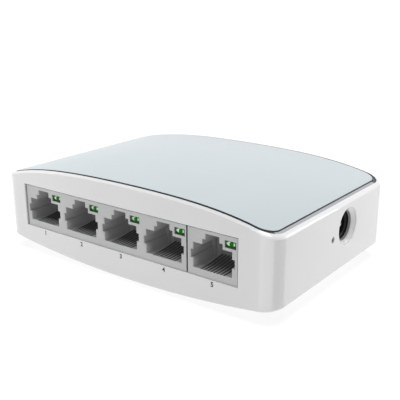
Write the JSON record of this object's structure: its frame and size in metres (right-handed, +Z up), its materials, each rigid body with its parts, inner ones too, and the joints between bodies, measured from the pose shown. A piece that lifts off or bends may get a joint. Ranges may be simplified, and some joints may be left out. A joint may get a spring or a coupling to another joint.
{
  "type": "desktop network switch",
  "caption": "Small desktop network switch: arched rounded casing, a row of modular network sockets in front with status lamps, and a round power socket in one side.",
  "frame": {"origin": "on the surface it stands on, under the middle of the casing", "axes": "+X along the row of sockets towards the power socket's side, +Y from the sockets to the back, +Z up"},
  "size_m": [0.0984, 0.0632, 0.0287],
  "materials": {
    "white_plastic": "fine satin moulded white plastic",
    "grey_blue_plate": "smooth pale grey-blue plate with a dark edge",
    "light_grey_plastic": "fine matt moulded light grey plastic",
    "dark_grey_plastic": "matt dark grey plastic",
    "black_plastic": "satin black plastic",
    "gold_plate": "gold-plated spring wire",
    "nickel": "nickel plate",
    "green_lens": "clear green lamp resin",
    "clear_plastic": "clear moulded plastic",
    "rubber": "soft grey rubber",
    "steel": "zinc-plated steel",
    "circuit_board": "green solder resist over glass-epoxy",
    "chip_black": "moulded epoxy",
    "capacitor_sleeve": "shrunk dark blue sleeve",
    "paper_label": "blank white film label"
  },
  "bodies": {
    "casing": {"upper_shell": "white_plastic", "top_plate": "grey_blue_plate", "bottom_cover": "white_plastic", "blank_label": "paper_label", "circuit_board": "circuit_board", "switch_chip": "chip_black", "memory_chip": "chip_black", "transformer_block_1_4": "black_plastic", "transformer_block_5": "black_plastic", "voltage_regulator": "chip_black", "power_inductor": "dark_grey_plastic", "crystal": "nickel", "power_lamp_chip": "clear_plastic", "capacitor_1": "capacitor_sleeve", "capacitor_2": "capacitor_sleeve", "socket_housing_1_4": "light_grey_plastic", "socket_housing_5": "light_grey_plastic", "power_jack_body": "black_plastic", "power_jack_pin": "nickel", "power_light_pipe": "clear_plastic", "board_screw_left": "steel", "rubber_foot_front_left": "rubber", "case_screw_front_left": "steel", "rubber_foot_back_left": "rubber", "case_screw_back_left": "steel", "board_screw_right": "steel", "rubber_foot_front_right": "rubber", "case_screw_front_right": "steel", "rubber_foot_back_right": "rubber", "case_screw_back_right": "steel", "port_1_comb_block": "dark_grey_plastic", "port_1_lamp": "green_lens", "port_2_comb_block": "dark_grey_plastic", "port_2_lamp": "green_lens", "port_3_comb_block": "dark_grey_plastic", "port_3_lamp": "green_lens", "port_4_comb_block": "dark_grey_plastic", "port_4_lamp": "green_lens", "port_5_comb_block": "dark_grey_plastic", "port_5_lamp": "green_lens"},
    "contacts_1": {"port_1_contact_wires": "gold_plate"},
    "contacts_2": {"port_2_contact_wires": "gold_plate"},
    "contacts_3": {"port_3_contact_wires": "gold_plate"},
    "contacts_4": {"port_4_contact_wires": "gold_plate"},
    "contacts_5": {"port_5_contact_wires": "gold_plate"},
    "jack_leaf": {"power_jack_spring_leaf": "nickel"}
  },
  "joints": [
    {"name": "contacts_1_flex", "type": "hinge", "parent": "casing", "child": "contacts_1", "pos_m": [-0.0324, -0.03025, 0.01017], "axis": [-1, 0, 0], "range_deg": [0, 5.5], "stiffness_Nm_per_rad": 0.2, "springref_deg": -5.73},
    {"name": "contacts_2_flex", "type": "hinge", "parent": "casing", "child": "contacts_2", "pos_m": [-0.01682, -0.03025, 0.01017], "axis": [-1, 0, 0], "range_deg": [0, 5.5], "stiffness_Nm_per_rad": 0.2, "springref_deg": -5.73},
    {"name": "contacts_3_flex", "type": "hinge", "parent": "casing", "child": "contacts_3", "pos_m": [-0.00124, -0.03025, 0.01017], "axis": [-1, 0, 0], "range_deg": [0, 5.5], "stiffness_Nm_per_rad": 0.2, "springref_deg": -5.73},
    {"name": "contacts_4_flex", "type": "hinge", "parent": "casing", "child": "contacts_4", "pos_m": [0.01434, -0.03025, 0.01017], "axis": [-1, 0, 0], "range_deg": [0, 5.5], "stiffness_Nm_per_rad": 0.2, "springref_deg": -5.73},
    {"name": "contacts_5_flex", "type": "hinge", "parent": "casing", "child": "contacts_5", "pos_m": [0.0303, -0.03025, 0.01017], "axis": [-1, 0, 0], "range_deg": [0, 5.5], "stiffness_Nm_per_rad": 0.2, "springref_deg": -5.73},
    {"name": "jack_leaf_flex", "type": "hinge", "parent": "casing", "child": "jack_leaf", "pos_m": [0.0381, 0.0069, 0.012], "axis": [0, 1, 0], "range_deg": [0, 4], "stiffness_Nm_per_rad": 0.08, "springref_deg": -5.73}
  ]
}
